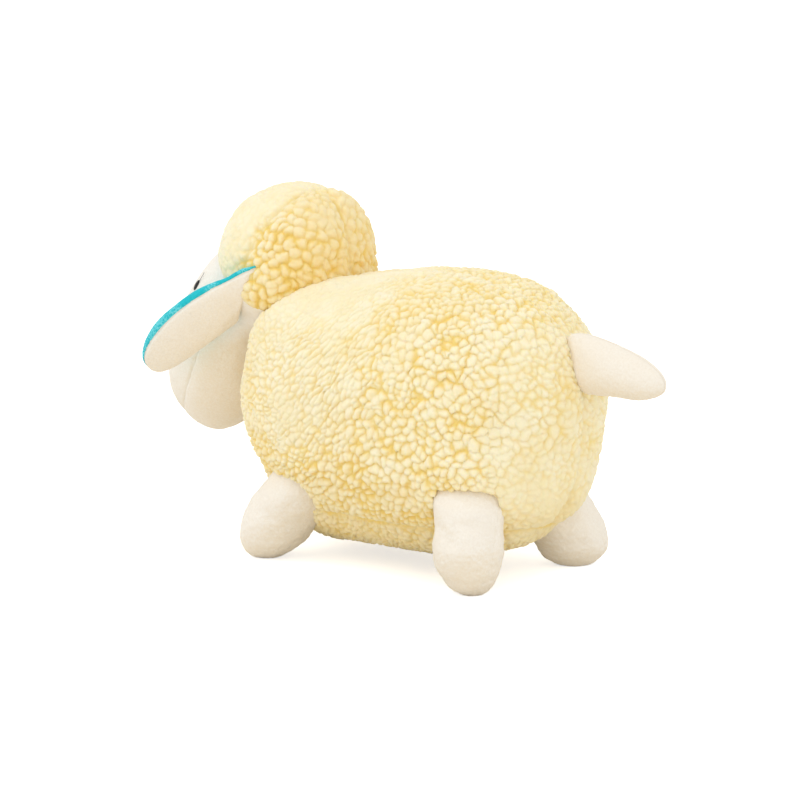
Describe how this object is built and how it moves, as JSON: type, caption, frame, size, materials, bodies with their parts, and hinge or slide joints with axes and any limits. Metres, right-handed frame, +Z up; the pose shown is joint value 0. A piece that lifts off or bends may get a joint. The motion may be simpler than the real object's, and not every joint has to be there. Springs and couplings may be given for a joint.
{
  "type": "plush sheep",
  "caption": "Soft stuffed sheep standing on stub legs, with a fleece body and wool cap, a smooth long face, hanging leaf ears and a short leaf tail.",
  "frame": {"origin": "on the floor, below the middle of the toy's box", "axes": "+Z up, the nose towards -Y, the sheep's left side towards +X"},
  "size_m": [0.1358, 0.3102, 0.1855],
  "materials": {
    "fleece": "matt sherpa pile",
    "velboa": "matt short pile",
    "ear_lining": "matt short pile",
    "filling": "loose polyester fibre",
    "eye_thread": "satin stitch",
    "nose_thread": "satin stitch"
  },
  "bodies": {
    "root": {"body_side_left": "fleece", "body_side_right": "fleece", "belly_panel": "fleece", "body_filling": "filling", "cap_front": "fleece", "cap_side_left": "fleece", "cap_side_right": "fleece", "cheek_left": "velboa", "cheek_right": "velboa", "face_front": "velboa", "head_filling": "filling", "eye_left": "eye_thread", "eye_right": "eye_thread", "nose": "nose_thread"},
    "ear_left": {"ear_left_back": "velboa", "ear_left_front": "ear_lining", "ear_left_wadding": "filling"},
    "ear_right": {"ear_right_back": "velboa", "ear_right_front": "ear_lining", "ear_right_wadding": "filling"},
    "tail": {"tail_side_left": "velboa", "tail_side_right": "velboa", "tail_filling": "filling"},
    "leg_front_left": {"leg_front_left_outer": "velboa", "leg_front_left_inner": "velboa", "leg_front_left_filling": "filling"},
    "leg_front_right": {"leg_front_right_outer": "velboa", "leg_front_right_inner": "velboa", "leg_front_right_filling": "filling"},
    "leg_hind_left": {"leg_hind_left_outer": "velboa", "leg_hind_left_inner": "velboa", "leg_hind_left_filling": "filling"},
    "leg_hind_right": {"leg_hind_right_outer": "velboa", "leg_hind_right_inner": "velboa", "leg_hind_right_filling": "filling"}
  },
  "joints": [
    {"name": "ear_left_swing", "type": "hinge", "parent": "root", "child": "ear_left", "pos_m": [0.039, -0.07935, 0.1335], "axis": [0.2169, 0.4432, 0.8698], "range_deg": [-10, 60], "stiffness_Nm_per_rad": 0.01},
    {"name": "ear_right_swing", "type": "hinge", "parent": "root", "child": "ear_right", "pos_m": [-0.039, -0.07935, 0.1335], "axis": [0.2169, -0.4432, -0.8698], "range_deg": [-10, 60], "stiffness_Nm_per_rad": 0.01},
    {"name": "tail_wag", "type": "hinge", "parent": "root", "child": "tail", "pos_m": [0, 0.10509, 0.114], "axis": [0, 0, 1], "range_deg": [-35, 35], "stiffness_Nm_per_rad": 0.02},
    {"name": "leg_front_left_swing", "type": "hinge", "parent": "root", "child": "leg_front_left", "pos_m": [0.034, -0.04135, 0.0385], "axis": [1, 0, 0], "range_deg": [-15, 15], "stiffness_Nm_per_rad": 0.3},
    {"name": "leg_front_right_swing", "type": "hinge", "parent": "root", "child": "leg_front_right", "pos_m": [-0.034, -0.04135, 0.0385], "axis": [1, 0, 0], "range_deg": [-15, 15], "stiffness_Nm_per_rad": 0.3},
    {"name": "leg_hind_left_swing", "type": "hinge", "parent": "root", "child": "leg_hind_left", "pos_m": [0.033, 0.06365, 0.0385], "axis": [1, 0, 0], "range_deg": [-15, 15], "stiffness_Nm_per_rad": 0.3},
    {"name": "leg_hind_right_swing", "type": "hinge", "parent": "root", "child": "leg_hind_right", "pos_m": [-0.033, 0.06365, 0.0385], "axis": [1, 0, 0], "range_deg": [-15, 15], "stiffness_Nm_per_rad": 0.3}
  ]
}
